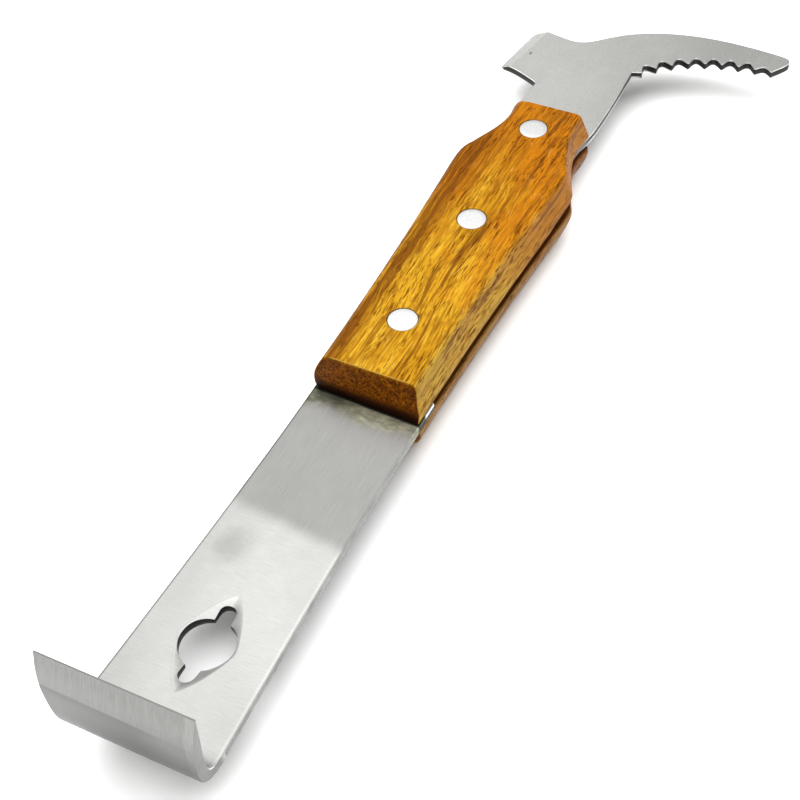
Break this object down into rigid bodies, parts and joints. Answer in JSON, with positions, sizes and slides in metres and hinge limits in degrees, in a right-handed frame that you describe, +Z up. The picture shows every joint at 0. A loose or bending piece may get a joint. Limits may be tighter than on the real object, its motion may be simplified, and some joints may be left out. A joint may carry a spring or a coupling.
{
  "type": "hive tool",
  "caption": "Beekeeper's hive tool with a turned-up scraper, a nail puller, a pry edge and a serrated hook on a steel plate between riveted wooden scales.",
  "frame": {"origin": "under the centre of the bounding box, level with the lower scale's underside", "axes": "+Y along the tool from the scraper to the hook; +Z up, the way the scraper lip turns and square to the plate; +X across the tool to the side that the serrated hook reaches"},
  "size_m": [0.0812, 0.2871, 0.0383],
  "materials": {
    "brushed_steel": "satin stainless steel with fine brushing, brighter towards the scraper",
    "oiled_wood": "oiled golden-brown hardwood with dark streaks and open pores",
    "rivet_metal": "bright, ground flush"
  },
  "bodies": {
    "root": {"blade": "brushed_steel", "upper_scale": "oiled_wood", "lower_scale": "oiled_wood", "rivet_1_pin": "rivet_metal", "rivet_1_tube": "rivet_metal", "rivet_2_pin": "rivet_metal", "rivet_2_tube": "rivet_metal", "rivet_3_pin": "rivet_metal", "rivet_3_tube": "rivet_metal"}
  },
  "joints": []
}
